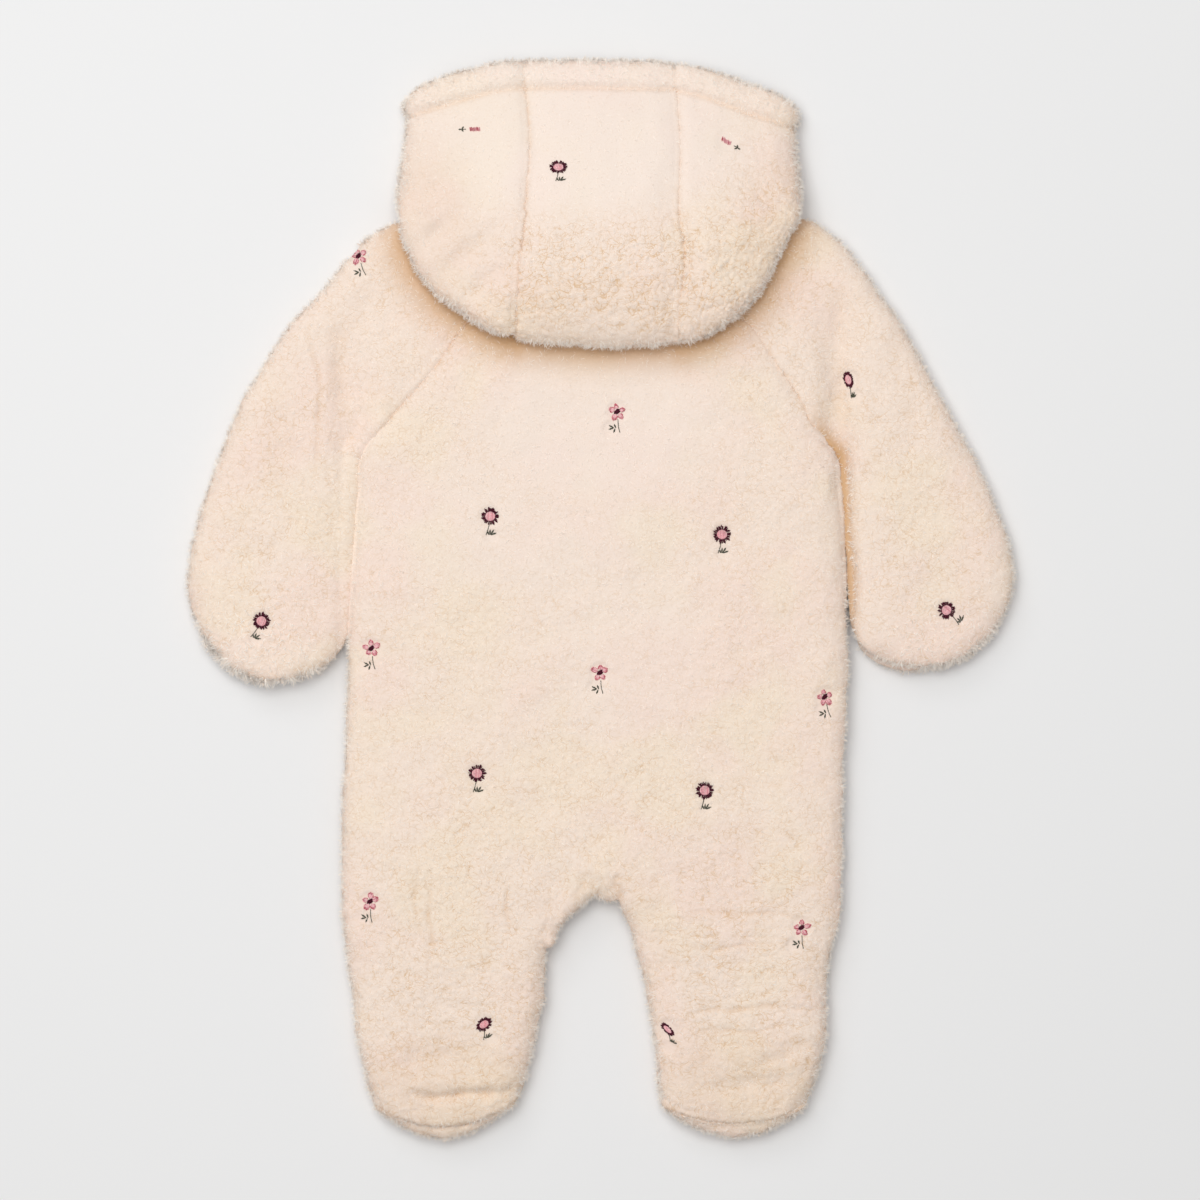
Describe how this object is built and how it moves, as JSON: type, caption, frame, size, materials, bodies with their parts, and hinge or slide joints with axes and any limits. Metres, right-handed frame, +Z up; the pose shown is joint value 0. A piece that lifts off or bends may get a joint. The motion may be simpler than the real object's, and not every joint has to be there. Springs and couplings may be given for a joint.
{
  "type": "pramsuit",
  "caption": "Baby's hooded pramsuit in cream pile fleece with embroidered flowers, closed feet and mitten ends, laid flat on its front.",
  "frame": {"origin": "on the surface that the suit lies on, under the middle of its outline", "axes": "+Z up from the surface, +Y towards the hood, +X to the right of someone looking down on the back"},
  "size_m": [0.536, 0.6947, 0.0515],
  "materials": {
    "pile_fleece": "cream polyester pile fleece, crimped and matt with a soft sheen",
    "embroidery": "rayon embroidery thread in pinks, dark plum and grey-green, slightly glossy",
    "zip_tape": "woven polyester tape with moulded cream teeth",
    "zip_metal": "satin nickel plate"
  },
  "bodies": {
    "suit": {"back_panel": "pile_fleece", "front_left": "pile_fleece", "front_right": "pile_fleece", "sleeve_left": "pile_fleece", "sleeve_right": "pile_fleece", "sole_left": "pile_fleece", "sole_right": "pile_fleece", "hood_centre": "pile_fleece", "hood_left": "pile_fleece", "hood_right": "pile_fleece", "zip_tape": "zip_tape", "zip_slider": "zip_metal"},
    "pull": {"zip_pull": "zip_metal"}
  },
  "joints": [
    {"name": "pull_hinge", "type": "hinge", "parent": "suit", "child": "pull", "pos_m": [0, 0.226, 0.0026], "axis": [1, 0, 0], "range_deg": [0, 170]}
  ]
}
